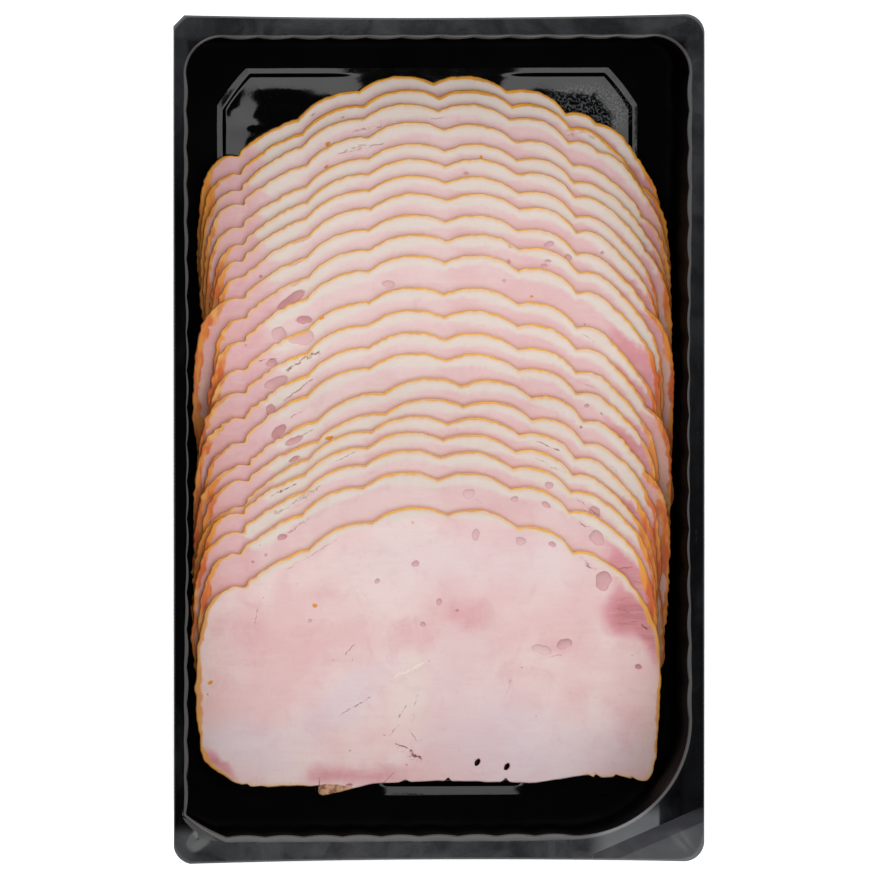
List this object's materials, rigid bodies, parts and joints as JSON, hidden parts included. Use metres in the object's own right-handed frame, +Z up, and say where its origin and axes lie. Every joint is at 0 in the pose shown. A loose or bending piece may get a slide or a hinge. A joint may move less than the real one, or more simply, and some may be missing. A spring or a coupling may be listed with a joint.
{
  "type": "pack of sliced cooked ham",
  "caption": "Open black plastic tray with a rim and fluted walls, holding cooked ham slices laid in an overlapping fan that rises over the near end.",
  "frame": {"origin": "on the ground under the middle of the tray", "axes": "+Z up, +Y along the tray towards its far end, where the first slice lies, +X to the right"},
  "size_m": [0.1664, 0.264, 0.03],
  "materials": {
    "tray_plastic": "glossy black sheet, lightly scuffed on the rim",
    "cooked_ham": "moist pale pink meat with a white fat band and a golden brown skin"
  },
  "bodies": {
    "root": {"tray": "tray_plastic", "slice_01": "cooked_ham", "slice_02": "cooked_ham", "slice_03": "cooked_ham", "slice_04": "cooked_ham", "slice_05": "cooked_ham", "slice_06": "cooked_ham", "slice_07": "cooked_ham", "slice_08": "cooked_ham", "slice_09": "cooked_ham", "slice_10": "cooked_ham", "slice_11": "cooked_ham", "slice_12": "cooked_ham", "slice_13": "cooked_ham", "slice_14": "cooked_ham", "slice_15": "cooked_ham", "slice_16": "cooked_ham", "slice_17": "cooked_ham", "slice_18": "cooked_ham", "slice_19": "cooked_ham", "slice_20": "cooked_ham", "slice_21": "cooked_ham", "slice_22": "cooked_ham"}
  },
  "joints": []
}
